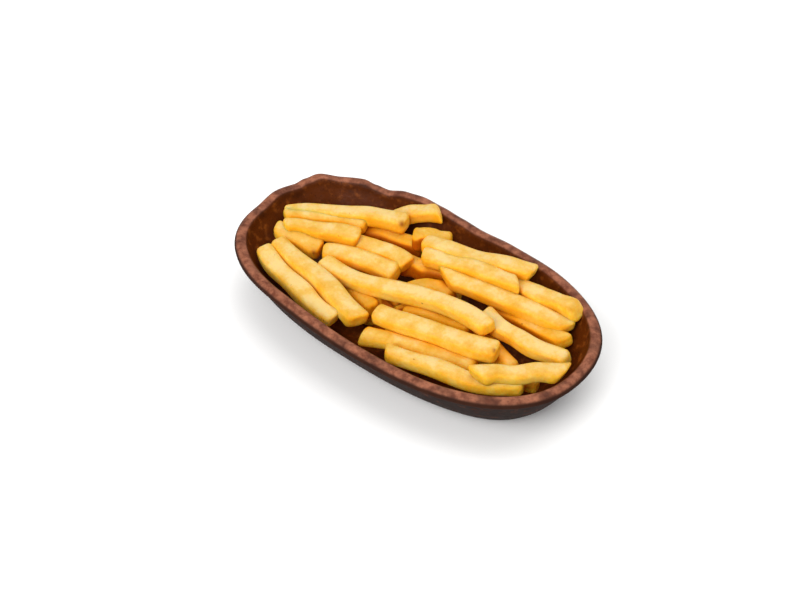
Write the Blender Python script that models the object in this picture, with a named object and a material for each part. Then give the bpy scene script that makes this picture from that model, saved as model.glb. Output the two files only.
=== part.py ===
"""French fries heaped in an oval stoneware dish: Blender 4.5, metres, +Z up.

The origin is the middle of the dish's flat base. +X runs along the dish, and the rim rises
into a low crest at the far left (-X, +Y). The fries are one solid here, out to their uneven outline.
"""

import math

import bmesh
import bpy
import numpy as np

MM = 0.001

# The dish, in millimetres. An inset is measured inwards from the rim's outer edge.
DISH_LENGTH = 218.7
DISH_WIDTH = 122.0
SQUARENESS = 2.47  # exponent of the oval: 2 is an ellipse, more is squarer
RIM_HEIGHT = 36.0
RIM_WIDTH = 6.8
RIM_DEPTH = 5.0  # height of the rolled band, down to the groove under it
GROOVE_INSET = 3.2
BASE_INSET = 25.2
FLOOR_INSET = 36.0
FLOOR_THICKNESS = 6.6
FOOT_ROUND = 1.6  # how far the base's edge is rounded off, sideways
FOOT_LIFT = 0.7  # and upwards
WALL_BELLY = 2.6  # how far the outer wall bulges past a straight slope
RIM_START = -58.0  # the rolled band is an arc from here, under its outer edge
RIM_END = 150.0  # to here, in degrees, inside the dish
RIM_TILT = 0.09  # rise of the band towards the inside, per millimetre
INNER_DROP = 3.0  # the inner wall starts this far below the rim's top
WALL_CURVE = 1.7  # how sharply the inner wall falls, and then rounds into the floor
FLOOR_CURVE = 1.15  # how the inner wall's points crowd towards the rim
WALL_STEPS = 6
RIM_STEPS = 6
AROUND = 72  # segments round the oval

# Unevenness of the hand-made rim: height added at each angle round the oval, in degrees.
CREST = ((0, -1.6), (30, 0.9), (60, 0.7), (80, -1.4), (92, -3.0), (99, -2.0), (106, -0.6), (112, 0.6),
         (118, -0.2), (124, -2.8), (128, -1.4), (132, 0.8), (140, 0.5), (149, 2.9), (155, 1.0),
         (160, -0.8), (172, 0.2), (186, -2.0), (200, -1.9), (225, -0.4), (250, 2.5), (275, 0.2),
         (300, -0.8), (330, -0.4), (360, -1.6))
CREST_ROOT = 15.0  # height above which the wall follows the rim's unevenness

# Each fry: its two ends' centres (x, y, z), its thickness, how far its middle bows to its left,
# and how far it swings to its left and then back to its right.
LOWER_FRIES = (
    ((-58.5, -3, 20), (-12, -18.5, 22), 9.5, 0, 0),
    ((-8, 3, 23), (14, 14.5, 24), 9.0, 5, 0),
    ((0, -8, 22), (38, 2.5, 24), 9.0, 1, 0),
    ((-60.5, 26, 23), (-22.5, 34, 25), 9.8, 0, 0),
    ((-29, 19.5, 22), (1, 26.5, 24), 10.2, -1, 0),
    ((-28.5, 32, 30.5), (-10.5, 43, 30.5), 10.8, 0, 0),
    ((30.5, 8.5, 21), (70.5, -4, 20), 8.5, 0, 0),
    ((70.5, -10, 20), (87.5, -4.5, 20), 8.0, 0, 0),
    ((32.5, 23.5, 21), (83, 24, 27), 8.9, 0, 0),
    ((-3, -38.5, 24), (56, -17, 22), 9.5, 1.5, 0),
)
UPPER_FRIES = (
    ((35.5, 37.5, 31), (79.5, 38, 38), 9.8, -1.2, 0),
    ((-18.5, 29.5, 34), (44.5, 44.5, 39), 9.8, -1.7, 0),
    ((-47.5, 37.5, 30), (-24.5, 50.5, 37), 8.5, 3.2, 0),
    ((-92.5, -0.5, 31), (-53.5, 22.5, 31), 8.2, 2.6, 0),
    ((-94.5, 2, 32), (-35, 34.5, 35), 8.3, 3.4, 0),
    ((-90.5, -10.5, 30), (-62, -5, 27), 9.4, -0.6, 0),
    ((-52, 10.5, 27), (-17.5, 15, 28), 9.8, 3, 0),
    ((-59.5, -6, 27), (-18, 6, 27), 10.1, 3.8, 0),
    ((-85.5, -8.5, 34), (-49, 12, 32), 8.5, 0.5, 0),
    ((-82.5, -27.5, 30), (-20.5, -40, 25), 9.8, -2.5, 0),
    ((-81, -19.5, 31), (-8, -34.5, 28), 10.8, 1.4, 0),
    ((5, 18, 32), (79.5, 30.5, 31), 9.1, 0, 0),
    ((-11.5, 20.5, 35), (44, 33, 38), 8.9, 0.5, 0),
    ((38.5, 11, 29), (93, 12, 29), 8.9, -3.4, 0),
    ((-53, -12.5, 28), (51.5, -0.5, 35), 9.5, 0.8, -3.85),
    ((17.5, -43, 28), (87, -16, 28), 9.0, -5, 2),
    ((-5, -25, 30), (63, -7, 30), 10.0, -1.8, 0),
    ((68, -32.5, 36), (99, 3, 32), 9.1, -1, 0),
)
FRY_STATIONS = 6
FRY_CORNER = 0.31  # where a fry's section starts to cut its corner, as a share of its thickness
FRY_TAPER = 0.14  # how much thinner a fry is at its ends
FRY_FLESH = 0.9  # added to each fry's thickness, so that touching fries join into one solid
CORE_EDGE_INSET = 13.0
CORE_EDGE_HEIGHT = 17.0
CORE_SINK = 2.5  # how far the core's top lies below the middles of the fries over it
CORE_REACH = 10.0  # how far a fry draws the core's top up to itself, sideways
CORE_RINGS = 9
CORE_PATH_STATIONS = 24
CORE_EDGE_WEIGHT = 0.05  # pull of the edge's height where no fry is near
CORE_FOOT = (2.0, 2.5)  # how far the core's foot is sunk into the dish, outwards and downwards
CLEARANCE = 0.4  # gap between the fries and the dish


def clear_scene():
    for obj in list(bpy.data.objects):
        bpy.data.objects.remove(obj, do_unlink=True)


def make_collection(name, hidden=False):
    collection = bpy.data.collections.new(name)
    bpy.context.scene.collection.children.link(collection)
    collection.hide_render = hidden
    return collection


def make_material(name, color, roughness, metallic=0.0):
    material = bpy.data.materials.new(name)
    material.use_nodes = True
    shader = material.node_tree.nodes["Principled BSDF"]
    shader.inputs["Base Color"].default_value = (*color, 1.0)
    shader.inputs["Roughness"].default_value = roughness
    shader.inputs["Metallic"].default_value = metallic
    return material


def make_object(name, mesh_builder, collection, material=None):
    """A new object from a filled bmesh, shaded smooth apart from its sharp edges."""
    mesh = bpy.data.meshes.new(name)
    mesh_builder.to_mesh(mesh)
    mesh_builder.free()
    mesh.shade_smooth()
    mesh.set_sharp_from_angle(angle=math.radians(40))
    if material:
        mesh.materials.append(material)
    obj = bpy.data.objects.new(name, mesh)
    collection.objects.link(obj)
    return obj


def hide_helper(obj):
    obj.hide_render = True
    obj.display_type = "WIRE"


def smooth_step(share):
    share = min(max(share, 0.0), 1.0)
    return share * share * (3.0 - 2.0 * share)


def oval_point(angle, inset):
    """A point of the oval that lies this far inside the rim's outer edge."""
    c, s = math.cos(angle), math.sin(angle)
    reach = (abs(c) ** SQUARENESS + abs(s) ** SQUARENESS) ** (-1.0 / SQUARENESS)
    return (DISH_LENGTH / 2 - inset) * reach * c, (DISH_WIDTH / 2 - inset) * reach * s


def rim_rise(angle):
    """Height that the uneven rim adds at this angle, eased between the stations of CREST."""
    degrees = math.degrees(angle) % 360.0
    for (before, low), (after, high) in zip(CREST, CREST[1:]):
        if before <= degrees <= after:
            return low + (high - low) * smooth_step((degrees - before) / (after - before))
    return 0.0


def outer_wall(groove):
    """(inset, height) up the outer wall, from the base's edge to the groove under the rim."""
    points = [(BASE_INSET, 0.0)]
    foot = BASE_INSET - FOOT_ROUND
    for i in range(WALL_STEPS + 1):
        share = i / WALL_STEPS
        inset = foot + (GROOVE_INSET - foot) * share - WALL_BELLY * math.sin(math.pi * share)
        points.append((inset, FOOT_LIFT + (groove - FOOT_LIFT) * share))
    return points


def rim_band(groove):
    """(inset, height) round the rolled rim: an arc from under its outer edge, over the top, to its inside."""
    half_width = RIM_WIDTH / 2
    half_depth = (RIM_HEIGHT - groove) / 2
    points = []
    for i in range(RIM_STEPS + 1):
        turn = math.radians(RIM_START + (RIM_END - RIM_START) * i / RIM_STEPS)
        inset = half_width * (1.0 - math.cos(turn))
        height = groove + half_depth * (1.0 + math.sin(turn)) + RIM_TILT * (inset - half_width)
        points.append((inset, height))
    return points


def inner_wall():
    """(inset, height) down the inner wall, which starts steep and rounds into the flat floor."""
    top = RIM_HEIGHT - INNER_DROP
    points = []
    for i in range(WALL_STEPS + 1):
        share = i / WALL_STEPS
        inset = RIM_WIDTH + (FLOOR_INSET - RIM_WIDTH) * share ** FLOOR_CURVE
        points.append((inset, FLOOR_THICKNESS + (top - FLOOR_THICKNESS) * (1.0 - share) ** WALL_CURVE))
    return points


def dish_profile():
    """(inset, height) from the base's edge, up the outer wall, over the rim and down to the floor."""
    groove = RIM_HEIGHT - RIM_DEPTH
    return outer_wall(groove) + rim_band(groove) + inner_wall()


def offset_profile(points, gap):
    """The same profile grown outwards by the gap, along the mean normal at each point."""
    grown = []
    for i, (inset, height) in enumerate(points):
        before = points[max(i - 1, 0)]
        after = points[min(i + 1, len(points) - 1)]
        along = (after[0] - before[0], after[1] - before[1])
        length = math.hypot(*along)
        grown.append((inset + gap * along[1] / -length, height + gap * along[0] / length))
    return grown


def turn_oval(profile, around=AROUND):
    """Spins the profile about Z, then presses each turned point onto the oval and the uneven rim."""
    builder = bmesh.new()
    radius = DISH_WIDTH / 2
    chain = [builder.verts.new(((radius - inset) * MM, 0, height * MM)) for inset, height in profile]
    edges = [builder.edges.new(pair) for pair in zip(chain, chain[1:])]
    bmesh.ops.spin(builder, geom=chain + edges, axis=(0, 0, 1), cent=(0, 0, 0), angle=math.tau,
                   steps=around, use_duplicate=False)
    bmesh.ops.remove_doubles(builder, verts=builder.verts, dist=1e-6)
    for vert in builder.verts:
        angle = math.atan2(vert.co.y, vert.co.x) % math.tau
        inset = radius - math.hypot(vert.co.x, vert.co.y) / MM
        height = vert.co.z / MM
        x, y = oval_point(angle, inset)
        follow = smooth_step((height - CREST_ROOT) / (RIM_HEIGHT - INNER_DROP - CREST_ROOT))
        vert.co = (x * MM, y * MM, (height + rim_rise(angle) * follow) * MM)
    return builder


def close_turned(builder):
    """Fills the flat base and the flat floor, and turns every face outwards."""
    rims = [edge for edge in builder.edges if edge.is_boundary]
    bmesh.ops.edgeloop_fill(builder, edges=rims)
    bmesh.ops.recalc_face_normals(builder, faces=builder.faces)
    return builder


def fry_path(fry, stations=FRY_STATIONS):
    """Centres along a fry, in millimetres: a straight line between its ends, bent sideways."""
    start, end, _, bow, swing = fry
    start, end = np.array(start, float), np.array(end, float)
    share = np.linspace(0.0, 1.0, stations)[:, None]
    along = end - start
    left = np.array([-along[1], along[0], 0.0]) / math.hypot(along[0], along[1])
    bend = bow * (1.0 - (2.0 * share - 1.0) ** 2) + swing * np.sin(math.tau * share)
    return start + along * share + left * bend


def make_fry_section(collection):
    """The rounded square that every fry is swept from, one millimetre across."""
    ring = [(0.5, -FRY_CORNER), (0.5, FRY_CORNER), (FRY_CORNER, 0.5), (-FRY_CORNER, 0.5),
            (-0.5, FRY_CORNER), (-0.5, -FRY_CORNER), (-FRY_CORNER, -0.5), (FRY_CORNER, -0.5)]
    curve = bpy.data.curves.new("fry_section", "CURVE")
    curve.dimensions = "2D"
    spline = curve.splines.new("POLY")
    spline.points.add(len(ring) - 1)
    for point, (x, y) in zip(spline.points, ring):
        point.co = (x * MM, y * MM, 0, 1)
    spline.use_cyclic_u = True
    section = bpy.data.objects.new("fry_section", curve)
    collection.objects.link(section)
    return section


def make_fry_bar(name, fry, section, collection):
    """One fry as a closed bar: the section swept along its path, a little thinner at both ends."""
    curve = bpy.data.curves.new(name, "CURVE")
    curve.dimensions = "3D"
    curve.bevel_mode = "OBJECT"
    curve.bevel_object = section
    curve.use_fill_caps = True
    spline = curve.splines.new("POLY")
    path = fry_path(fry)
    spline.points.add(len(path) - 1)
    for i, (point, centre) in enumerate(zip(spline.points, path)):
        point.co = (*(centre * MM), 1)
        end_share = abs(2.0 * i / (len(path) - 1) - 1.0)
        point.radius = (fry[2] + FRY_FLESH) * (1.0 - FRY_TAPER * end_share ** 3)
    sweep = bpy.data.objects.new(name + "_sweep", curve)
    collection.objects.link(sweep)
    bpy.context.view_layer.update()
    evaluated = sweep.evaluated_get(bpy.context.evaluated_depsgraph_get())
    mesh = bpy.data.meshes.new_from_object(evaluated)
    builder = bmesh.new()
    builder.from_mesh(mesh)
    bmesh.ops.remove_doubles(builder, verts=builder.verts, dist=1e-6)
    bmesh.ops.recalc_face_normals(builder, faces=builder.faces)
    bpy.data.objects.remove(sweep, do_unlink=True)
    bpy.data.meshes.remove(mesh)
    bar = make_object(name, builder, collection)
    hide_helper(bar)
    return bar


def core_height(x, y, paths):
    """Height of the core: the mean of the near fries' heights, each weighing less the further it lies."""
    weights = [CORE_EDGE_WEIGHT]
    heights = [CORE_EDGE_HEIGHT]
    for path in paths:
        distance = np.hypot(path[:, 0] - x, path[:, 1] - y)
        nearest = int(distance.argmin())
        weights.append(math.exp(-((distance[nearest] / CORE_REACH) ** 2)))
        heights.append(path[nearest, 2] - CORE_SINK)
    return float(np.dot(weights, heights) / sum(weights))


def make_core(collection):
    """A closed mound under the fries: rings of the oval from its sunken foot to its middle."""
    paths = [fry_path(fry, CORE_PATH_STATIONS) for fry in UPPER_FRIES]
    builder = bmesh.new()
    rings = [(FLOOR_INSET - CORE_FOOT[0], FLOOR_THICKNESS - CORE_FOOT[1])]
    rings += [(CORE_EDGE_INSET + i * (DISH_WIDTH / 2 - CORE_EDGE_INSET) / CORE_RINGS, None)
              for i in range(CORE_RINGS + 1)]
    loops = []
    for ring, (inset, height) in enumerate(rings):
        loop = []
        for step in range(AROUND):
            x, y = oval_point(math.tau * step / AROUND, inset)
            z = height
            if height is None:
                blend = smooth_step((ring - 1) / 2)
                z = CORE_EDGE_HEIGHT + (core_height(x, y, paths) - CORE_EDGE_HEIGHT) * blend
            loop.append(builder.verts.new((x * MM, y * MM, z * MM)))
        loops.append(loop)
    for outer, inner in zip(loops, loops[1:]):
        for i in range(AROUND):
            builder.faces.new((outer[i], outer[(i + 1) % AROUND], inner[(i + 1) % AROUND], inner[i]))
    builder.faces.new(loops[0])
    # the innermost ring lies flat along the dish's middle line, and its two sides meet there
    bmesh.ops.remove_doubles(builder, verts=builder.verts, dist=1e-6)
    bmesh.ops.recalc_face_normals(builder, faces=builder.faces)
    return builder


def make_dish(collection):
    material = make_material("dish", (0.12, 0.035, 0.018), 0.42)
    builder = close_turned(turn_oval(dish_profile()))
    return make_object("dish", builder, collection, material)


def make_heap(collection, cutters):
    """Core and fries joined into one solid, then kept clear of the dish."""
    material = make_material("fries_heap", (0.86, 0.56, 0.16), 0.55)
    heap = make_object("fries_heap", make_core(collection), collection, material)
    bars = bpy.data.collections.new("fry_bars")
    cutters.children.link(bars)
    section = make_fry_section(cutters)
    for i, fry in enumerate(LOWER_FRIES + UPPER_FRIES):
        make_fry_bar(f"fry_bar_{i + 1:02d}", fry, section, bars)
    bpy.data.objects.remove(section, do_unlink=True)
    join = heap.modifiers.new("join fries", "BOOLEAN")
    join.operation = "UNION"
    join.operand_type = "COLLECTION"
    join.collection = bars
    join.solver = "EXACT"
    grown = close_turned(turn_oval(offset_profile(dish_profile(), CLEARANCE)))
    clearance = make_object("dish_clearance", grown, cutters)
    hide_helper(clearance)
    trim = heap.modifiers.new("clear of dish", "BOOLEAN")
    trim.operation = "DIFFERENCE"
    trim.object = clearance
    trim.solver = "EXACT"
    return heap


def main():
    clear_scene()
    portion = make_collection("french_fries_portion")
    cutters = make_collection("cutters", hidden=True)
    make_dish(portion)
    make_heap(portion, cutters)


main()
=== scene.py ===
import math
import bpy
import numpy as np
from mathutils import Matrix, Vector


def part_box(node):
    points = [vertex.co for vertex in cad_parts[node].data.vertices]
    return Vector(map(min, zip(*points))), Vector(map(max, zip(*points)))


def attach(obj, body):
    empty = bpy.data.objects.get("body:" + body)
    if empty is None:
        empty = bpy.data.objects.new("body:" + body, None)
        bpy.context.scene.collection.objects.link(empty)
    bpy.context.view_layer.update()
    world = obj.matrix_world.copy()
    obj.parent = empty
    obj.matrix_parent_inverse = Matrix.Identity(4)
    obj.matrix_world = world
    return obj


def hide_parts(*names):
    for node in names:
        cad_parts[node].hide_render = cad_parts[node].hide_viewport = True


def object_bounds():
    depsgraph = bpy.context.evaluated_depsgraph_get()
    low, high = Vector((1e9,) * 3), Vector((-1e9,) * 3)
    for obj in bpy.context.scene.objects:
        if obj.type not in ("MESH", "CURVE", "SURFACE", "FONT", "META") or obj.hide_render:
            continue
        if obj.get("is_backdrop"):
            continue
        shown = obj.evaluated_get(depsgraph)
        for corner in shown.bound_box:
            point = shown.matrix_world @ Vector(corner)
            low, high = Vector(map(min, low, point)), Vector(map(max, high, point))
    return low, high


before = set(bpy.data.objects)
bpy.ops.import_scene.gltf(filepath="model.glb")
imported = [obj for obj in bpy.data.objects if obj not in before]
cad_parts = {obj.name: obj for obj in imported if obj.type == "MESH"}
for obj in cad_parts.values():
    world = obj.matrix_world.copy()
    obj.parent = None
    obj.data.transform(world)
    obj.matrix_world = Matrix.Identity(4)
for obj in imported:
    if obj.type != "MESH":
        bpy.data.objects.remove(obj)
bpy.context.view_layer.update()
mm = 0.001
straightUp = np.array([0.0, 0.0, 1.0])
print("frame loaded:", ", ".join(sorted(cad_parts)))


# ease from 0 to 1: 3x^2 - 2x^3 between the two limits
def easeStep(low, high, value):
    share = np.clip((value - low) / (high - low), 0.0, 1.0)
    return share * share * (3.0 - 2.0 * share)


# adds a named value for each point of the mesh, which materials read
def addMark(mesh, name, values):
    mark = mesh.attributes.new(name, "FLOAT", "POINT")
    mark.data.foreach_set("value", np.asarray(values, np.float32).ravel())


# a mesh object from points, four-sided faces and three-sided faces, all numpy arrays, smooth shaded
def meshPiece(name, points, quads, triangles, marks):
    mesh = bpy.data.meshes.new(name)
    mesh.vertices.add(len(points))
    mesh.vertices.foreach_set("co", np.asarray(points, np.float32).ravel())
    corners = np.concatenate([quads.ravel(), triangles.ravel()]).astype(np.int32)
    sizes = np.concatenate([np.full(len(quads), 4), np.full(len(triangles), 3)]).astype(np.int32)
    mesh.loops.add(len(corners))
    mesh.loops.foreach_set("vertex_index", corners)
    mesh.polygons.add(len(sizes))
    mesh.polygons.foreach_set("loop_start", (np.cumsum(sizes) - sizes).astype(np.int32))
    mesh.update(calc_edges=True)
    mesh.shade_smooth()
    for markName, values in marks.items():
        addMark(mesh, markName, values)
    piece = bpy.data.objects.new(name, mesh)
    bpy.context.scene.collection.objects.link(piece)
    return piece


# faces of several closed tubes at once: each has rows of rings, wraps round, and closes on a pole at
# either end
def tubeFaces(count, rows, around):
    row = np.arange(rows - 1)[:, None]
    col = np.arange(around)[None, :]
    nextCol = (col + 1) % around
    quads = np.stack([row * around + col, row * around + nextCol,
                      (row + 1) * around + nextCol, (row + 1) * around + col], axis=-1).reshape(-1, 4)
    ring = np.arange(around)
    nextRing = (ring + 1) % around
    firstPole = np.full(around, rows * around)
    lastPole = firstPole + 1
    lastRow = (rows - 1) * around
    caps = np.concatenate([np.stack([firstPole, nextRing, ring], axis=-1),
                           np.stack([lastPole, lastRow + ring, lastRow + nextRing], axis=-1)])
    offsets = (np.arange(count) * (rows * around + 2))[:, None, None]
    return (quads[None] + offsets).reshape(-1, 4), (caps[None] + offsets).reshape(-1, 3)


# reach of the rounded square |x|^p + |y|^p = 1 in the direction (c, s): (|c|^p + |s|^p)^(-1/p)
def roundedSquare(c, s, power):
    return (np.abs(c) ** power + np.abs(s) ** power) ** (-1 / power)


# adds a shader node, sets the given sockets and joins the given links to it
def addNode(tree, kind, values=None, links=None, **settings):
    node = tree.nodes.new("ShaderNode" + kind)
    for setting, value in settings.items():
        setattr(node, setting, value)
    for socket, value in (values or {}).items():
        node.inputs[socket].default_value = value
    for socket, source in (links or {}).items():
        tree.links.new(source, node.inputs[socket])
    return node


# directions that the surface faces at each point
def normalsOf(piece):
    normals = np.zeros(len(piece.data.vertices) * 3, np.float32)
    piece.data.vertices.foreach_get("normal", normals)
    return normals.reshape(-1, 3)


# adds a mark that is 0 where the surface faces up and 1 where it stands upright or faces down, eased over
# the height of its normal; the fried skin paints light by it, giving the flanks a brighter, more orange
# colour
def markFlanks(piece, upright=0.15, facingUp=0.95):
    addMark(piece.data, "flank", 1.0 - easeStep(upright, facingUp, normalsOf(piece)[:, 2]))


def newMaterial(name):
    material = bpy.data.materials.new(name)
    material.use_nodes = True
    return material, material.node_tree, material.node_tree.nodes["Principled BSDF"]


# a smooth noise on Object coordinates; grain is the size of its blotches in millimetres
def noiseOf(tree, coords, grain, detail=2.0, roughness=0.5):
    noise = addNode(tree, "TexNoise", {"Scale": 1.0 / (grain * mm), "Detail": detail, "Roughness": roughness},
                    {"Vector": coords})
    return noise.outputs["Fac"]


# the result of one operation on numbers or sockets
def mathOf(tree, operation, *values):
    node = tree.nodes.new("ShaderNodeMath")
    node.operation = operation
    for socket, value in zip(node.inputs, values):
        if isinstance(value, (int, float)):
            socket.default_value = value
        else:
            tree.links.new(value, socket)
    return node.outputs[0]


# value spread from (low, high) to (0, full), eased
def spreadOf(tree, value, low, high, full=1.0):
    node = addNode(tree, "MapRange", {"From Min": low, "From Max": high, "To Max": full}, {"Value": value},
                   interpolation_type="SMOOTHSTEP")
    return node.outputs["Result"]


# first x (1 - factor) + second x factor, for colours or sockets
def mixColors(tree, factor, first, second):
    node = tree.nodes.new("ShaderNodeMix")
    node.data_type = "RGBA"
    for socket, value in ((node.inputs[0], factor), (node.inputs[6], first), (node.inputs[7], second)):
        if isinstance(value, tuple):
            socket.default_value = (*value, 1.0)
        else:
            tree.links.new(value, socket)
    return node.outputs[2]


def markOf(tree, name):
    return addNode(tree, "Attribute", attribute_name=name).outputs["Fac"]


# colour bands along a value between 0 and 1
def rampOf(tree, value, stops):
    ramp = tree.nodes.new("ShaderNodeValToRGB")
    bands = ramp.color_ramp.elements
    while len(bands) < len(stops):
        bands.new(1.0)
    for band, (place, color) in zip(bands, stops):
        band.position = place
        band.color = (*color, 1)
    tree.links.new(value, ramp.inputs["Fac"])
    return ramp.outputs["Color"]


# relief in the shading: strength from 0 to 1, depth in millimetres
def joinBump(tree, shader, height, strength, depth):
    bump = addNode(tree, "Bump", {"Strength": strength, "Distance": depth * mm}, {"Height": height})
    tree.links.new(bump.outputs["Normal"], shader.inputs["Normal"])


dish = {
    "squareness": 2.47,     # exponent of the oval: 2 is an ellipse, more is squarer
    "rimWidth": 6.8,        # lengths and insets are in millimetres
    "rimDepth": 5.0,
    "rimHeight": 36.0,
    "rimTilt": 0.09,        # rise of the rolled band towards the inside, per millimetre
    "rimArc": (-58.0, 150.0),   # degrees from the outer edge, over the top, to the inside
    # degrees on that arc: the pale band eases in between the first two and out between the last
    "paleArc": (26.0, 58.0, 128.0, 158.0),
    "grooveInset": 3.2,
    "baseInset": 25.2,
    "floorInset": 36.0,
    "floorThickness": 6.6,
    "footRound": (1.6, 0.7),    # from the base's edge to the foot of the wall: outwards, upwards
    "wallBelly": 2.6,
    "innerDrop": 3.0,       # how far below the rim's height the inner wall starts
    "wallCurve": 1.7,       # exponents of the inner wall's fall and of its run inwards
    "floorCurve": 1.15,
    "crestRoot": 15.0,      # height from which the wall follows the rim's rise
    # height that the hand-made rim adds at each angle, in degrees
    "crest": ((0, -1.6), (30, 0.9), (60, 0.7), (80, -1.4), (92, -3.0), (99, -2.0), (106, -0.6),
              (112, 0.6), (118, -0.2), (124, -2.8), (128, -1.4), (132, 0.8), (140, 0.5), (149, 2.9),
              (155, 1.0), (160, -0.8), (172, 0.2), (186, -2.0), (200, -1.9), (225, -0.4), (250, 2.5),
              (275, 0.2), (300, -0.8), (330, -0.4), (360, -1.6)),
    "around": 432,
    "wallSteps": 26,
    "rimSteps": 26,
    "floorSteps": 12,
    "baseReach": 0.999,     # the base's last ring stops just short of its edge
    "floorHole": 0.08,      # and the floor's last ring just short of its middle, as shares
    "rimShadeFade": 30.0,       # degrees before the arc over which the dark roll, painted shade under the rim, eases in
    "waver": 0.28,          # how far the rim's band wanders, thicker and thinner
    "waverLift": 0.5,       # share of that in its height
    "waverWaves": (2, 15),  # counts of waves round the dish: from the first to just before the second
    "waverGrows": (0.0, 6.0),   # insets: none at the first, full at the second
    "waverFades": (14.0, 2.0),  # the same, going in from the rim
    "seed": 11,
}


# (inset, height) of the wall's section, as three runs of points:
# the outer wall is a straight slope with a bulge of half a sine, the rim is an arc, and the inner wall
# falls as a power of the share left, so that it rounds into the floor
def dishSection(d):
    groove = d["rimHeight"] - d["rimDepth"]
    foot = d["baseInset"] - d["footRound"][0]
    rise = np.linspace(0.0, 1.0, d["wallSteps"])
    outer = np.stack([foot + (d["grooveInset"] - foot) * rise - d["wallBelly"] * np.sin(np.pi * rise),
                      d["footRound"][1] + (groove - d["footRound"][1]) * rise], axis=-1)
    turn = np.radians(np.linspace(*d["rimArc"], d["rimSteps"]))
    half = d["rimWidth"] / 2
    inset = half * (1.0 - np.cos(turn))
    rim = np.stack([inset, groove + d["rimDepth"] / 2 * (1.0 + np.sin(turn)) + d["rimTilt"] * (inset - half)],
                   axis=-1)
    fall = np.linspace(0.0, 1.0, d["wallSteps"])
    top = d["rimHeight"] - d["innerDrop"]
    inner = np.stack([d["rimWidth"] + (d["floorInset"] - d["rimWidth"]) * fall ** d["floorCurve"],
                      d["floorThickness"] + (top - d["floorThickness"]) * (1.0 - fall) ** d["wallCurve"]],
                     axis=-1)
    return outer, rim, inner


# height that the hand-made rim adds, eased from each angle of the crest to the next
def crestRise(crest, degrees):
    stations, rises = np.array(crest).T
    place = np.clip(np.searchsorted(stations, degrees, side="right") - 1, 0, len(stations) - 2)
    share = easeStep(stations[place], stations[place + 1], degrees)
    return rises[place] + (rises[place + 1] - rises[place]) * share


# how far the rim's band wanders: sine waves round the dish, the shorter ones weaker, whose sum is brought
# to the given reach
def rimWander(d, angle):
    draw = np.random.default_rng(d["seed"])
    waves = np.arange(*d["waverWaves"])
    size = draw.normal(0.0, 1.0, len(waves)) / np.sqrt(waves)
    phase = draw.uniform(0, 2 * np.pi, len(waves))
    wander = (size[:, None] * np.sin(waves[:, None] * angle + phase[:, None])).sum(0)
    return d["waver"] * wander / np.abs(wander).max()


# the glaze's zones as marks from 0 to 1, by the angle on the rim's arc that each ring of the section has
# or would have if the arc went on; the two poles are the middles of the base and of the floor; the roll is
# painted shade on the rim's outer side and the top of the wall under it
def dishMarks(d, rings):
    arcStart, arcEnd = d["rimArc"]
    rimRing = np.arange(rings) - (d["floorSteps"] + 1 + d["wallSteps"])
    arc = arcStart + rimRing * (arcEnd - arcStart) / (d["rimSteps"] - 1)
    paleStart, paleFull, paleFade, paleEnd = d["paleArc"]
    inside = easeStep(paleFade, paleEnd, arc)
    pale = easeStep(paleStart, paleFull, arc)
    # painted shade under the rim: the roll
    roll = easeStep(arcStart - d["rimShadeFade"], arcStart, arc)
    zones = {"inside": (inside, 1.0), "onRim": (pale * (1 - inside), 0.0), "roll": (roll * (1 - pale), 0.0)}
    return {name: np.append(np.repeat(zone, d["around"]), [0.0, atFloor])
            for name, (zone, atFloor) in zones.items()}


# half length and half width of the dish, in millimetres
def dishHalves():
    low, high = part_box("dish")
    return (high.x - low.x) / 2 / mm, (high.y - low.y) / 2 / mm


# point (angle, section) = unit oval at that angle x (half size - inset), height + the rim's rise;
# the floor and the base are the same oval drawn in to its middle
def makeDish(d, material):
    halfLong, halfWide = dishHalves()
    base = np.array([[d["baseInset"], 0.0]])
    section = np.concatenate([base, *dishSection(d)])
    steps = d["floorSteps"]
    shrink = np.linspace(0.0, 1.0, steps + 1)[1:]
    inset = np.concatenate([np.full(steps, d["baseInset"]), section[:, 0], np.full(steps, d["floorInset"])])
    height = np.concatenate([np.zeros(steps), section[:, 1], np.full(steps, d["floorThickness"])])
    scale = np.concatenate([shrink * d["baseReach"], np.ones(len(section)),
                            1.0 - shrink * (1.0 - d["floorHole"])])
    angle = np.arange(d["around"]) / d["around"] * 2 * np.pi
    c, s = np.cos(angle), np.sin(angle)
    reach = roundedSquare(c, s, d["squareness"])
    wander = rimWander(d, angle)
    nearRim = easeStep(*d["waverGrows"], inset) * easeStep(*d["waverFades"], inset)
    deep = inset[:, None] - wander[None, :] * nearRim[:, None]
    x = (halfLong - deep) * (reach * c)[None, :] * scale[:, None]
    y = (halfWide - deep) * (reach * s)[None, :] * scale[:, None]
    follow = easeStep(d["crestRoot"], d["rimHeight"] - d["innerDrop"], height)[:, None]
    rise = crestRise(d["crest"], np.degrees(angle)) + d["waverLift"] * wander
    grid = np.stack([x, y, height[:, None] + rise[None, :] * follow], axis=-1)
    poles = np.array([[0.0, 0.0, 0.0], [0.0, 0.0, d["floorThickness"]]])
    points = np.concatenate([grid.reshape(-1, 3), poles]) * mm
    quads, caps = tubeFaces(1, len(height), d["around"])
    piece = meshPiece("oval_dish", points, quads, caps, dishMarks(d, len(height)))
    piece.data.materials.append(material)
    return piece


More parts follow.
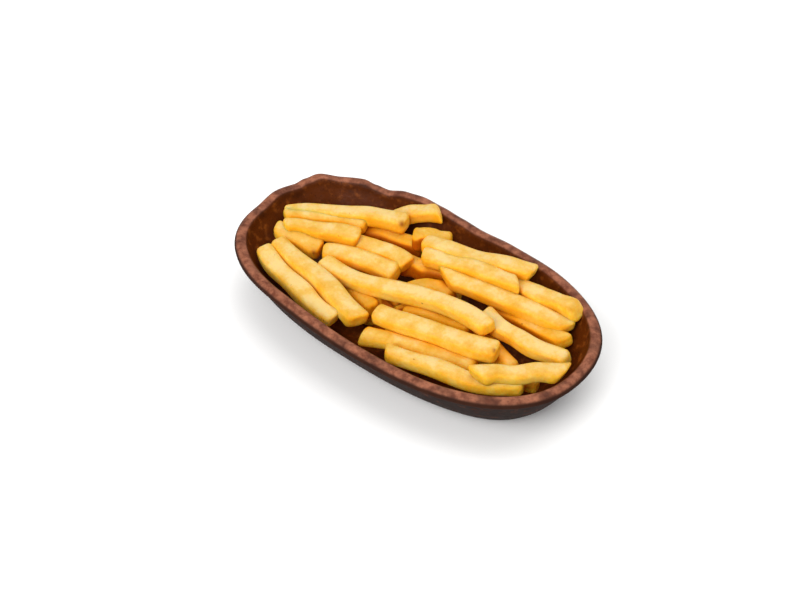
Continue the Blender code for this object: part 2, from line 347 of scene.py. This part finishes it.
# each row: start and end of the middle line (x, y, z), (thickness at the start, at the end, height against
# width), (bow, swing), roll in degrees, then the lean of the start cut and of the end cut as
# (towards the fry's left, upwards)
fries = {
    "top": [
        ((35.5, 37.5, 31), (79.5, 38, 38), (9.5, 10, 0.95), (-1.2, 0), 6, (0, 0), (0.0, -0.4)),
        ((-18.5, 29.5, 34), (44.5, 44.5, 39), (10, 9.5, 0.95), (-1.7, 0), 0, (0.0, 0.0), (0.3, 0.4)),
        ((-47.5, 37.5, 30), (-24.5, 50.5, 37), (8.5, 8.5, 0.9), (3.2, 0), 0, (0, 0), (-0.85, -0.2)),
        ((-92.5, -0.5, 31), (-53.5, 22.5, 31), (7.5, 9, 0.95), (2.6, 0), 6, (0.4, 0), (0.0, 0)),
        ((-94.5, 2, 32), (-35, 34.5, 35), (5.6, 11, 0.95), (3.4, 0), 0, (0.5, 0), (0, 0)),
        ((-90.5, -10.5, 30), (-62, -5, 27), (8.3, 10.4, 0.9), (-0.6, 0), 10, (0.3, 0), (0, 0)),
        ((-52, 10.5, 27), (-17.5, 15, 28), (9, 10.5, 0.9), (3, 0), 12, (0, 0), (0, 0.3)),
        ((-59.5, -6, 27), (-18, 6, 27), (9.2, 11, 0.88), (3.8, 0), 12, (0, 0), (-0.2, 0)),
        ((-85.5, -8.5, 34), (-49, 12, 32), (7, 10, 0.9), (0.5, 0), 6, (0.5, 0), (0, 0.2)),
        ((-82.5, -27.5, 30), (-20.5, -40, 25), (9.4, 10.2, 0.95), (-2.5, 0), 6, (0, 0.2), (0, 0.2)),
        ((-81, -19.5, 31), (-8, -34.5, 28), (9.6, 12, 0.95), (1.4, 0), -2, (0, 0), (0.2, 0.3)),
        ((5, 18, 32), (79.5, 30.5, 31), (9.5, 8.6, 0.95), (0, 0), 8, (1.35, 0), (0.7, 0.2)),
        ((-11.5, 20.5, 35), (44, 33, 38), (8.8, 9, 0.92), (0.5, 0), 6, (0.2, 0), (-0.7, 0)),
        ((38.5, 11, 29), (93, 12, 29), (9.5, 8.4, 0.95), (-3.4, 0), 8, (0.2, 0), (0.2, -0.2)),
        ((-53, -12.5, 28), (51.5, -0.5, 35), (9.4, 9.6, 0.95), (0.8, -3.85), 6, (0, 0), (0.2, 0)),
        ((17.5, -43, 28), (87, -16, 28), (9, 9, 0.95), (-5, 2), -2, (0.3, 0), (0.2, 0)),
        ((-5, -25, 30), (63, -7, 30), (9.5, 10.5, 0.8), (-1.8, 0), 4, (0, 0), (0, 0)),
        ((68, -32.5, 36), (99, 3, 32), (9, 9.2, 0.86), (-1, 0), 0, (0.8, 0.3), (0.8, 0.5)),
    ],
    "lower": [
        ((-58.5, -3, 20), (-12, -18.5, 22), (9, 10, 1), (0, 0), 0, (0, 0), (0, 0)),
        ((-8, 3, 23), (14, 14.5, 24), (9, 9, 1), (5, 0), 8, (0, 0), (0, 0)),
        ((0, -8, 22), (38, 2.5, 24), (9, 9, 1), (1, 0), -6, (0, 0), (0, 0)),
        ((-60.5, 26, 23), (-22.5, 34, 25), (9.5, 10, 1), (0, 0), 12, (0, 0), (0, 0)),
        ((-29, 19.5, 22), (1, 26.5, 24), (10, 10.5, 1), (-1, 0), 0, (0, 0), (0, 0)),
        ((-28.5, 32, 30.5), (-10.5, 43, 30.5), (11.5, 10, 1), (0, 0), 0, (0, 0), (0, 0)),
        ((30.5, 8.5, 21), (70.5, -4, 20), (8, 9, 1), (0, 0), -5, (0, 0), (0, 0)),
        ((70.5, -10, 20), (87.5, -4.5, 20), (8, 8, 1), (0, 0), 0, (0, 0), (0, 0)),
        ((32.5, 23.5, 21), (83, 24, 27), (9, 8.8, 1), (0, 0), 6, (0, 0), (0.5, 0)),
        ((-3, -38.5, 24), (56, -17, 22), (9.5, 9.5, 0.78), (1.5, 0), -4, (-0.1, -0.2), (0, 0)),
    ],
    "bodySteps": 44,        # rings along the length, ends not counted
    "around": 32,
    "edgeRadius": 2.5,      # rounding where a cut end meets the sides
    "squareness": (2.9, 4.0),   # exponent of the section: 2 is round, more is squarer
    "sunken": (0.0, 0.03),      # how far each side sinks between its edges, as a share
    "twist": 10.0,          # degrees that a fry may turn from end to end
    "lumps": 0.02,          # unevenness of the sides, as a share of the thickness
    "lumpWaves": 6,
    "lumpRate": 1.7,        # half waves along the fry, for each step of the lumps' count
    "swell": (0.045, 0.027),    # two waves that make a fry thicker and thinner along it, as shares
    "wander": (0.55, 0.275),    # how far its middle line strays to the left and upwards
    "waves": (1.5, 4.5),    # half waves of these four along the fry, fewest and most
    "cutReach": (4.0, 1.9),     # how far back a slanted cut moves the sides: least, and growth with its lean
    "brownCorners": 0.55,
    "brownEnds": 0.35,
    "brownReach": 3.5,      # from the ends
    "brownFade": 1.1,       # on the corners: full where a ring's scale x this is 1 or more
    "brownPoles": 0.2,
    # middle and reach of the brown spots
    "bruises": (((-34.9, 30.2, 37.9), 1.8), ((-61.9, -10.4, 28.6), 1.8), ((63.2, -10.7, 34.2), 0.9)),
    "seed": 5,
}

# fries hidden under the others: laid at random, low in the dish, mostly along it
buried = {
    "count": 20,
    "reach": (56.0, 15.0),  # half sizes of the oval that their middles stay in
    "heights": (10.5, 13.5),
    "lengths": (34.0, 54.0),
    "thickness": (8.0, 10.0),
    "turn": 24.0,           # spread of their headings, in degrees
    "bow": 2.0,
    "roll": 20.0,
    "seed": 24,
}


# middles spread evenly over an oval, headings mostly along the dish
def buriedRows(b):
    draw = np.random.default_rng(b["seed"])
    rows = []
    for i in range(b["count"]):
        angle, share = draw.uniform(0, 2 * math.pi), math.sqrt(draw.uniform())
        middle = np.array([b["reach"][0] * share * math.cos(angle), b["reach"][1] * share * math.sin(angle),
                           draw.uniform(*b["heights"])])
        turn = math.radians(draw.normal(0, b["turn"]))
        half = draw.uniform(*b["lengths"]) / 2 * np.array([math.cos(turn), math.sin(turn), 0.0])
        thickness = draw.uniform(*b["thickness"])
        bow, roll = draw.uniform(-b["bow"], b["bow"]), draw.uniform(-b["roll"], b["roll"])
        rows.append((tuple(middle - half), tuple(middle + half), (thickness, thickness, 1.0),
                     (bow, 0.0), roll, (0.0, 0.0), (0.0, 0.0)))
    return rows


# the rows' numbers as arrays with one entry for each fry, and its straight run, length and left side
def fryArrays(rows):
    start, end, startLean, endLean = (np.array([row[i] for row in rows], float) for i in (0, 1, 5, 6))
    first, last, flatness = (np.array([row[2][i] for row in rows])[:, None] for i in range(3))
    run = end - start
    left = np.stack([-run[:, 1], run[:, 0], 0 * run[:, 0]], axis=-1)
    left /= np.linalg.norm(left, axis=1)[:, None]
    return {"start": start, "run": run, "left": left, "length": np.linalg.norm(run, axis=1)[:, None],
            "firstHalf": first / 2, "lastHalf": last / 2, "flatness": flatness,
            "bends": np.array([row[3] for row in rows], float).T[:, :, None],
            "roll": np.radians(np.array([row[4] for row in rows], float))[:, None],
            "leans": (startLean, endLean)}


# middle line at the shares s of each fry's length: straight run + bow (1 - (2s - 1)^2) + swing sin(2 pi s)
# to the left, and what it strays by
def middleLine(a, s, strayLeft, strayUp):
    bow, swing = a["bends"]
    sideways = bow * (1.0 - (2 * s - 1) ** 2) + swing * np.sin(2 * np.pi * s) + strayLeft
    return a["start"][:, None] + a["run"][:, None] * s[..., None] + a["left"][:, None] * sideways[..., None] \
        + straightUp * strayUp[..., None]


# points along the middle lines of all the fries, and at each the half thickness x half the spacing
def middlePoints(rows, steps=24):
    a = fryArrays(rows)
    s = np.linspace(0.0, 1.0, steps)[None]
    weight = (a["firstHalf"] + a["lastHalf"]) / 2 * a["length"] / (steps - 1) / 2
    return middleLine(a, s, 0.0, 0 * s), np.repeat(weight, steps, axis=1)


# how much of each point's view the other fries fill: sum of weight x cosine / distance^2 over their
# middle points, then 1 - e^(-sum); a fry leaves out its own points, and none counts as nearer than the
# closest distance; the fried skin paints shade by it
def crowding(points, normals, others, weights, own, closest=4.0):
    crowd = np.zeros(points.shape[:2], np.float32)
    for i in range(len(points)):
        keep = np.arange(len(others)) != own[i]
        away = others[keep].reshape(1, -1, 3).astype(np.float32) - points[i][:, None].astype(np.float32)
        gap = np.maximum(np.einsum("pqk,pqk->pq", away, away), closest ** 2)
        facing = np.maximum(np.einsum("pqk,pk->pq", away, normals[i].astype(np.float32)), 0.0)
        crowd[i] = (facing * weights[keep].reshape(1, -1) / gap ** 1.5).sum(1)
    return 1.0 - np.exp(-crowd)


# distances along each fry of its rings, how far each ring is drawn in from the side, and the size of the
# flat rings as a share of the cut, which is nan for the others: a few flat rings on the cut, a quarter
# circle of the edge radius, then even steps to the other end
def ringStations(length, f, flatRings=3, roundRings=6):
    edge = f["edgeRadius"]
    turn = np.linspace(0.0, np.pi / 2, roundRings)
    endDist = np.concatenate([np.zeros(flatRings), edge * (1.0 - np.cos(turn))])
    endInset = np.concatenate([np.zeros(flatRings), edge * (1.0 - np.sin(turn))])
    endFlat = np.concatenate([np.linspace(0.25, 0.8, flatRings), np.full(roundRings, np.nan)])
    body = np.linspace(0.0, 1.0, f["bodySteps"] + 2)[1:-1]
    bodyDist = edge + (length - 2 * edge) * body
    tile = np.ones((len(length), 1))
    dist = np.concatenate([tile * endDist, bodyDist, length - tile * endDist[::-1]], axis=1)
    zeros = np.zeros(len(body))
    inset = np.concatenate([endInset, zeros, endInset[::-1]])
    flatShare = np.concatenate([endFlat, zeros + np.nan, endFlat[::-1]])
    return dist, inset, flatShare


# directions round a section, in radians
def sectionAngles(f):
    return (np.arange(f["around"]) + 0.5) / f["around"] * 2 * np.pi


# directions at every ring: along the fry by the slope of its middle line, then across and upright on its
# section, turned by the roll and by the twist's share
def fryDirections(a, s, twist):
    bow, swing = a["bends"]
    slope = bow * -4 * (2 * s - 1) + swing * 2 * np.pi * np.cos(2 * np.pi * s)
    along = a["run"][:, None] + a["left"][:, None] * slope[..., None]
    along /= np.linalg.norm(along, axis=-1)[..., None]
    side = np.cross(straightUp, along)
    side /= np.linalg.norm(side, axis=-1)[..., None]
    lift = np.cross(along, side)
    turn = (a["roll"] + twist * (s - 0.5))[..., None]
    return along, np.cos(turn) * side + np.sin(turn) * lift, np.cos(turn) * lift - np.sin(turn) * side


# place (x, y) in the section at every ring and angle: a rounded square |cos|^p + |sin|^p whose sides sink
# between its edges, x slow lumps x the ring's scale; flatness makes it wider and lower by its square root
def frySections(draw, a, s, half, scale, f):
    count, rings = s.shape
    angle = sectionAngles(f)
    c, sn = np.cos(angle), np.sin(angle)
    radius = roundedSquare(c, sn, draw.uniform(*f["squareness"], (count, 1)))
    radius *= 1.0 - draw.uniform(*f["sunken"], (count, 1)) * np.cos(4 * angle)
    slow = np.zeros((count, rings, f["around"]))
    for k in range(1, f["lumpWaves"] + 1):
        phase = draw.uniform(0, 2 * np.pi, (2, count, 1, 1))
        size = draw.normal(0, 1, (count, 1, 1)) / math.sqrt(k)
        slow += size * np.sin(k * f["lumpRate"] * np.pi * s[..., None] + phase[0]) \
            * np.cos((k % 3) * angle + phase[1])
    radius = radius[:, None, :] * scale[..., None] * (1.0 + f["lumps"] * slow)
    flat = np.sqrt(a["flatness"])[..., None]
    return half[..., None] / flat * radius * c, half[..., None] * flat * radius * sn


# how far a slanted cut moves each point along the fry: its lean x the place in the section, eased out
# over a reach that grows with the lean
def cutShift(a, dist, half, x, y, f):
    least, growth = f["cutReach"]
    shift = 0
    for leans, gap, sign in zip(a["leans"], (dist, a["length"] - dist), (-1, 1)):
        reach = least + growth * half.mean(1, keepdims=True) * np.abs(leans).sum(1)[:, None]
        weight = sign * (1.0 - easeStep(0.0, 1.0, gap / reach))
        shift = shift + weight[..., None] * (leans[:, 0, None, None] * x + leans[:, 1, None, None] * y)
    return shift


# browning of each fry's points: on the section's four corners, and e^(-distance / reach) from its ends;
# the two poles have a mark of their own
def fryBrowning(a, dist, scale, f):
    corner = ((1 - np.cos(4 * sectionAngles(f))) / 2) ** 3
    nearEnd = np.exp(-np.minimum(dist, a["length"] - dist) / f["brownReach"])
    browning = f["brownCorners"] * corner * np.minimum(scale[..., None] * f["brownFade"], 1.0) \
        + f["brownEnds"] * nearEnd[..., None]
    poles = np.full((len(dist), 2), f["brownPoles"])
    return np.concatenate([browning.reshape(len(dist), -1), poles], axis=1)


# point (ring, angle) = middle line + the place in the section, along its two directions + the cut's shift
def friesPiece(name, rows, firstRow, heap, f, seed, material):
    draw = np.random.default_rng(seed)
    a = fryArrays(rows)
    count = len(rows)
    dist, inset, flatShare = ringStations(a["length"], f)
    s = dist / a["length"]
    rate = draw.uniform(*f["waves"], (4, count, 1))
    waves = np.sin(np.pi * rate * s + draw.uniform(0, 2 * np.pi, (4, count, 1)))
    swell = 1.0 + f["swell"][0] * waves[0] + f["swell"][1] * waves[1]
    half = (a["firstHalf"] + (a["lastHalf"] - a["firstHalf"]) * s) * swell
    scale = np.where(np.isnan(flatShare), 1.0 - inset / half, flatShare * (1.0 - f["edgeRadius"] / half))
    middle = middleLine(a, s, f["wander"][0] * waves[2], f["wander"][1] * waves[3])
    twist = np.radians(draw.uniform(-1, 1, (count, 1)) * f["twist"])
    along, across, upright = fryDirections(a, s, twist)
    x, y = frySections(draw, a, s, half, scale, f)
    shift = cutShift(a, dist, half, x, y, f)
    grid = middle[:, :, None] + across[:, :, None] * x[..., None] + upright[:, :, None] * y[..., None] \
        + along[:, :, None] * shift[..., None]
    poles = np.stack([grid[:, 0].mean(1), grid[:, -1].mean(1)], axis=1)
    points = np.concatenate([grid.reshape(count, -1, 3), poles], axis=1)
    bruises = [np.exp(-((points - spot) ** 2).sum(-1) / reach ** 2) for spot, reach in f["bruises"]]
    marks = {"browning": fryBrowning(a, dist, scale, f),
             "tint": np.repeat(draw.uniform(-1, 1, count), points.shape[1]),
             "bruise": sum(bruises)}
    quads, caps = tubeFaces(count, s.shape[1], f["around"])
    piece = meshPiece(name, points.reshape(-1, 3) * mm, quads, caps, marks)
    markFlanks(piece)
    normals = normalsOf(piece).reshape(points.shape)
    # crowding, which the fried skin turns into painted shade
    addMark(piece.data, "crowd", crowding(points, normals, *heap, firstRow + np.arange(count)))
    piece.data.materials.append(material)
    return piece


core = {"height": 7.5, "inset": 43.0, "lift": 0.3, "footRings": 4, "topRings": 14, "around": 96}


# a low mound: rings of the dish's oval from the middle of its foot out and back in over the top, whose
# height is the full height x sqrt(1 - r^4); it is coloured all over as painted shade, the brown of the gaps
def makeCore(k, d, material):
    halfLong, halfWide = (half - k["inset"] for half in dishHalves())
    angle = np.arange(k["around"]) / k["around"] * 2 * np.pi
    c, s = np.cos(angle), np.sin(angle)
    reach = roundedSquare(c, s, d["squareness"])
    outwards = np.linspace(0.1, 1.0, k["footRings"], endpoint=False)
    inwards = np.linspace(1.0, 0.05, k["topRings"])
    share = np.concatenate([outwards, inwards])
    top = np.concatenate([0 * outwards, k["height"] * np.sqrt(1 - inwards ** 4)])
    floor = d["floorThickness"] + k["lift"]
    grid = np.stack([halfLong * share[:, None] * reach * c, halfWide * share[:, None] * reach * s,
                     floor + top[:, None] + 0 * angle], axis=-1)
    poles = np.array([[0, 0, floor], [0, 0, floor + k["height"]]])
    points = np.concatenate([grid.reshape(-1, 3), poles]) * mm
    quads, caps = tubeFaces(1, len(share), k["around"])
    full = np.ones(len(points))
    # full crowding, with the darker copy of the skin, paints the whole mound as shade
    piece = meshPiece("heap_core", points, quads, caps, {"browning": full, "tint": 0 * full, "crowd": full})
    markFlanks(piece)
    piece.data.materials.append(material)
    return piece


glaze = {
    "inside": (0.082, 0.016, 0.001),
    "insideRed": (0.185, 0.046, 0.005),
    "rim": (0.130, 0.038, 0.019),
    "rimLight": (0.315, 0.117, 0.063),
    "roll": (0.030, 0.009, 0.004),  # painted shade on the rim's outer side and the top of the wall under it
    # the outer wall: its grey-brown glaze, darkened further as painted shade
    "outside": (0.020, 0.012, 0.010),
    "fleck": (0.012, 0.003, 0.002),
    "cloud": 11.0,          # sizes of the noises, millimetres
    "speckle": 4.2,
    "grain": 1.1,
    "peel": 0.9,
    "ripple": 4.0,
    # where in its noise each mottling starts and is full, and how strong it is then
    "insideMottle": (0.50, 0.74),
    "rimMottle": (0.30, 0.72),
    "outsideMottle": (0.50, 0.75, 0.5),
    "clouding": (0.46, 0.72, 0.50),
    "flecking": (0.60, 0.74, 0.45),
    "roughness": 0.73,      # of the outer wall; the sheens are what the other zones take off it
    "rimSheen": 0.36,
    "insideSheen": 0.396,
    "roughMottle": 0.22,
    "peelShare": 0.35,
    "relief": (0.55, 0.6),  # strength, and depth in millimetres
    "sheen": 0.10,
}


# speckled glaze: a ground colour for each zone, stirred by soft blotches, with slow dark clouds and fine
# dark flecks over it; the roll and part of the outer wall's darkness are painted shade; roughness = the outer
# wall's - the zone's sheen + mottle x blotches
def glazeMaterial(g):
    material, tree, shader = newMaterial("speckled_glaze")
    coords = tree.nodes.new("ShaderNodeTexCoord").outputs["Object"]
    inside, onRim, roll = markOf(tree, "inside"), markOf(tree, "onRim"), markOf(tree, "roll")
    cloud = noiseOf(tree, coords, g["cloud"], 3.0)
    speck = noiseOf(tree, coords, g["speckle"], 4.0, 0.6)
    grain = noiseOf(tree, coords, g["grain"], 2.0, 0.6)
    insideColor = mixColors(tree, spreadOf(tree, speck, *g["insideMottle"]), g["inside"], g["insideRed"])
    rimColor = mixColors(tree, spreadOf(tree, speck, *g["rimMottle"]), g["rim"], g["rimLight"])
    # the outer wall's ground, partly painted shade, mottled with the rim's colour
    outside = mixColors(tree, spreadOf(tree, speck, *g["outsideMottle"]), g["outside"], g["rim"])
    # painted shade: the roll darkens the rim's outer side and the top of the wall
    outside = mixColors(tree, roll, outside, g["roll"])
    color = mixColors(tree, inside, mixColors(tree, onRim, outside, rimColor), insideColor)
    color = mixColors(tree, spreadOf(tree, cloud, *g["clouding"]), color, g["fleck"])
    color = mixColors(tree, spreadOf(tree, grain, *g["flecking"]), color, g["fleck"])
    tree.links.new(color, shader.inputs["Base Color"])
    rough = mathOf(tree, "MULTIPLY_ADD", onRim, -g["rimSheen"], g["roughness"])
    rough = mathOf(tree, "MULTIPLY_ADD", inside, -g["insideSheen"], rough)
    rough = mathOf(tree, "MULTIPLY_ADD", speck, g["roughMottle"], rough)
    tree.links.new(rough, shader.inputs["Roughness"])
    peel = noiseOf(tree, coords, g["peel"], 3.0, 0.6)
    ripple = noiseOf(tree, coords, g["ripple"], 2.0)
    joinBump(tree, shader, mathOf(tree, "MULTIPLY_ADD", peel, g["peelShare"], ripple), *g["relief"])
    shader.inputs["Specular IOR Level"].default_value = g["sheen"]
    return material


friedPotato = {
    # colours of the upward sides, from the palest to the most fried
    "tops": ((0.10, (0.66, 0.475, 0.180)), (0.42, (0.645, 0.395, 0.083)), (0.88, (0.59, 0.305, 0.024))),
    # and of the flanks, from the palest to the most fried: painted light, brighter and more orange than the
    # tops
    "paintedLightFlanks": ((0.08, (0.93, 0.58, 0.085)), (0.45, (0.93, 0.50, 0.030)), (0.95, (0.88, 0.39, 0.010))),
    "deep": (0.86, 0.345, 0.004),   # painted shade where fries crowd
    "gap": (0.42, 0.095, 0.001),    # painted shade, deepest between them
    "spot": (0.26, 0.07, 0.008),
    "blotch": 9.0,          # sizes of the noises, millimetres
    "mottle": 1.8,
    "pores": 0.7,
    "blister": 3.2,
    "pinSpot": 2.6,
    "start": 0.30,          # place in the bands before anything browns it
    "byBrowning": 0.5,      # and how far each thing moves it
    "byBlotch": 1.7,
    "byMottle": 0.7,
    "byTint": 0.14,
    # where each starts and is full: painted shade as deep orange and gaps in the crowding, pin spots in their
    # noise
    "deepCrowd": (0.46, 1.0),
    "gapCrowd": (0.72, 1.10),
    "spotting": (0.77, 0.82, 0.6),
    "roughness": 0.36,
    "roughMottle": 0.25,
    "poreShare": 0.3,
    "relief": (0.55, 0.9),  # strength, and depth in millimetres
    "glow": 0.5,            # light that sinks in
    "glowColor": (1.0, 0.45, 0.12),
    "glowReach": 3.5,
    "sheen": 0.18,
    "sheenLoss": 0.3,       # for each step of painted shade
    "lowPaintedShade": 0.26,      # painted shade on the lower fries, the buried fries and the core, which lie under others
}


# fried skin: one run of colours for the tops and one for the flanks, which paints light on the flanks, laid
# along a level = start + browning + blotches + mottles + the fry's own tint, each by its strength; painted
# shade where fries crowd, deep orange, and brown in the gaps between them; a few pin spots; soft sheen, light
# that sinks in a little; painted shade given for the whole material darkens it and lowers its sheen
def friedMaterial(name, p, paintedShade=0.0):
    material, tree, shader = newMaterial(name)
    coords = tree.nodes.new("ShaderNodeTexCoord").outputs["Object"]
    mottle = noiseOf(tree, coords, p["mottle"], 3.0, 0.6)
    level = mathOf(tree, "MULTIPLY_ADD", markOf(tree, "browning"), p["byBrowning"], p["start"] + paintedShade)
    blotch = noiseOf(tree, coords, p["blotch"], 2.0)
    for noise, strength in ((blotch, p["byBlotch"]), (mottle, p["byMottle"])):
        level = mathOf(tree, "MULTIPLY_ADD", mathOf(tree, "SUBTRACT", noise, 0.5), strength, level)
    level = mathOf(tree, "MULTIPLY_ADD", markOf(tree, "tint"), p["byTint"], level)
    tops, paintedLightFlanks = rampOf(tree, level, p["tops"]), rampOf(tree, level, p["paintedLightFlanks"])
    # painted light: the flanks take the brighter, more orange run of colours
    skin = mixColors(tree, markOf(tree, "flank"), tops, paintedLightFlanks)
    # painted shade: the crowding, raised by the material's own painted shade, turns the skin deep orange,
    # then brown
    crowd = mathOf(tree, "ADD", markOf(tree, "crowd"), paintedShade)
    deep = mixColors(tree, spreadOf(tree, crowd, *p["gapCrowd"]), p["deep"], p["gap"])
    skin = mixColors(tree, spreadOf(tree, crowd, *p["deepCrowd"]), skin, deep)
    pinSpots = noiseOf(tree, coords, p["pinSpot"], 1.0)
    color = mixColors(tree, spreadOf(tree, pinSpots, *p["spotting"]), skin, p["spot"])
    color = mixColors(tree, markOf(tree, "bruise"), color, p["spot"])
    tree.links.new(color, shader.inputs["Base Color"])
    rough = mathOf(tree, "MULTIPLY_ADD", mottle, p["roughMottle"], p["roughness"])
    tree.links.new(rough, shader.inputs["Roughness"])
    pores = noiseOf(tree, coords, p["pores"], 3.0, 0.65)
    blister = noiseOf(tree, coords, p["blister"], 2.0)
    joinBump(tree, shader, mathOf(tree, "MULTIPLY_ADD", pores, p["poreShare"], blister), *p["relief"])
    shader.inputs["Subsurface Weight"].default_value = p["glow"]
    shader.inputs["Subsurface Radius"].default_value = p["glowColor"]
    shader.inputs["Subsurface Scale"].default_value = p["glowReach"] * mm
    shader.inputs["Specular IOR Level"].default_value = p["sheen"] - p["sheenLoss"] * paintedShade
    return material


studio = {
    "azimuth": 41.0,        # camera's heading from +Y towards -X, degrees
    "elevation": 42.0,
    "distance": 1.267,
    "lens": 106.67,
    "aim": (0.0, 0.0, 0.020),
    "slide": (-0.00475, 0.00074),   # camera moved to its right and up
    "floorSize": 4.0,
    "floorColor": (0.95, 0.95, 0.95),
    "world": 0.56,
    # name, place, size, power in watts, colour
    "lamps": (("overhead", (0.02, 0.42, 1.38), 1.6, 14.0, (1.0, 0.99, 0.97)),
              ("front_fill", (0.20, -1.06, 0.95), 0.9, 17.0, (1.0, 0.99, 0.98))),
}


# place = aim - forward x distance, then slid sideways and up
def makeCamera(st):
    azimuth, elevation = math.radians(st["azimuth"]), math.radians(st["elevation"])
    forward = np.array([-math.sin(azimuth) * math.cos(elevation), math.cos(azimuth) * math.cos(elevation),
                        -math.sin(elevation)])
    right = np.array([math.cos(azimuth), math.sin(azimuth), 0.0])
    up = np.cross(right, forward)
    place = np.array(st["aim"]) - forward * st["distance"] + right * st["slide"][0] + up * st["slide"][1]
    camera = bpy.data.objects.new("camera", bpy.data.cameras.new("camera"))
    bpy.context.scene.collection.objects.link(camera)
    camera.location = place
    camera.rotation_euler = (math.pi / 2 - elevation, 0.0, azimuth)
    camera.data.lens = st["lens"]
    camera.data.clip_start = 0.01
    bpy.context.scene.camera = camera


# a square lamp that faces the aim
def makeLamp(st, name, place, size, power, color):
    light = bpy.data.lights.new(name, "AREA")
    light.size = size
    light.energy = power
    light.color = color
    lamp = bpy.data.objects.new(name, light)
    lamp.location = place
    away = np.array(place) - np.array(st["aim"])
    lamp.rotation_euler = (math.atan2(math.hypot(away[0], away[1]), away[2]), 0.0,
                           math.atan2(away[1], away[0]) + math.pi / 2)
    bpy.context.scene.collection.objects.link(lamp)


# flat square floor at the height of the dish's base
def makeFloor(st):
    half = st["floorSize"] / 2
    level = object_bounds()[0][2]
    points = np.array([[-half, -half, level], [half, -half, level],
                       [half, half, level], [-half, half, level]])
    floor = meshPiece("studio_floor", points, np.array([[0, 1, 2, 3]]), np.zeros((0, 3), int), {})
    material, tree, shader = newMaterial("studio_paper")
    shader.inputs["Base Color"].default_value = (*st["floorColor"], 1)
    shader.inputs["Roughness"].default_value = 0.7
    floor.data.materials.append(material)
    return floor


# even white light from all round
def makeWorld(st):
    world = bpy.data.worlds.new("studio")
    world.use_nodes = True
    world.node_tree.nodes["Background"].inputs["Color"].default_value = (1, 1, 1, 1)
    world.node_tree.nodes["Background"].inputs["Strength"].default_value = st["world"]
    bpy.context.scene.world = world


glazed = glazeMaterial(glaze)
fried = friedMaterial("fried_skin", friedPotato)
# a darker copy of the skin, painted shade, for the fries and the mound that lie under others
friedShaded = friedMaterial("fried_skin_painted_shade", friedPotato, friedPotato["lowPaintedShade"])

dishPiece = makeDish(dish, glazed)
print("dish:", len(dishPiece.data.polygons), "faces")
hidden = buriedRows(buried)
heap = middlePoints(fries["top"] + fries["lower"] + hidden)
topCount, lowerCount = len(fries["top"]), len(fries["lower"])
seed = fries["seed"]
topPiece = friesPiece("top_fries", fries["top"], 0, heap, fries, seed, fried)
lowerPiece = friesPiece("lower_fries", fries["lower"], topCount, heap, fries, seed + 1, friedShaded)
buriedPiece = friesPiece("buried_fries", hidden, topCount + lowerCount, heap, fries, seed + 2, friedShaded)
corePiece = makeCore(core, dish, friedShaded)
print("fries:", topCount, "on top,", lowerCount, "lower,", len(hidden), "buried")

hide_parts("dish")
for piece in (topPiece, lowerPiece, buriedPiece, corePiece):
    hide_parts("fries_heap")
    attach(piece, "root")
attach(dishPiece, "root")

makeFloor(studio)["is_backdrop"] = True
makeWorld(studio)
for lamp in studio["lamps"]:
    makeLamp(studio, *lamp)
makeCamera(studio)
bpy.context.scene.view_settings.view_transform = "Standard"
print("studio ready")
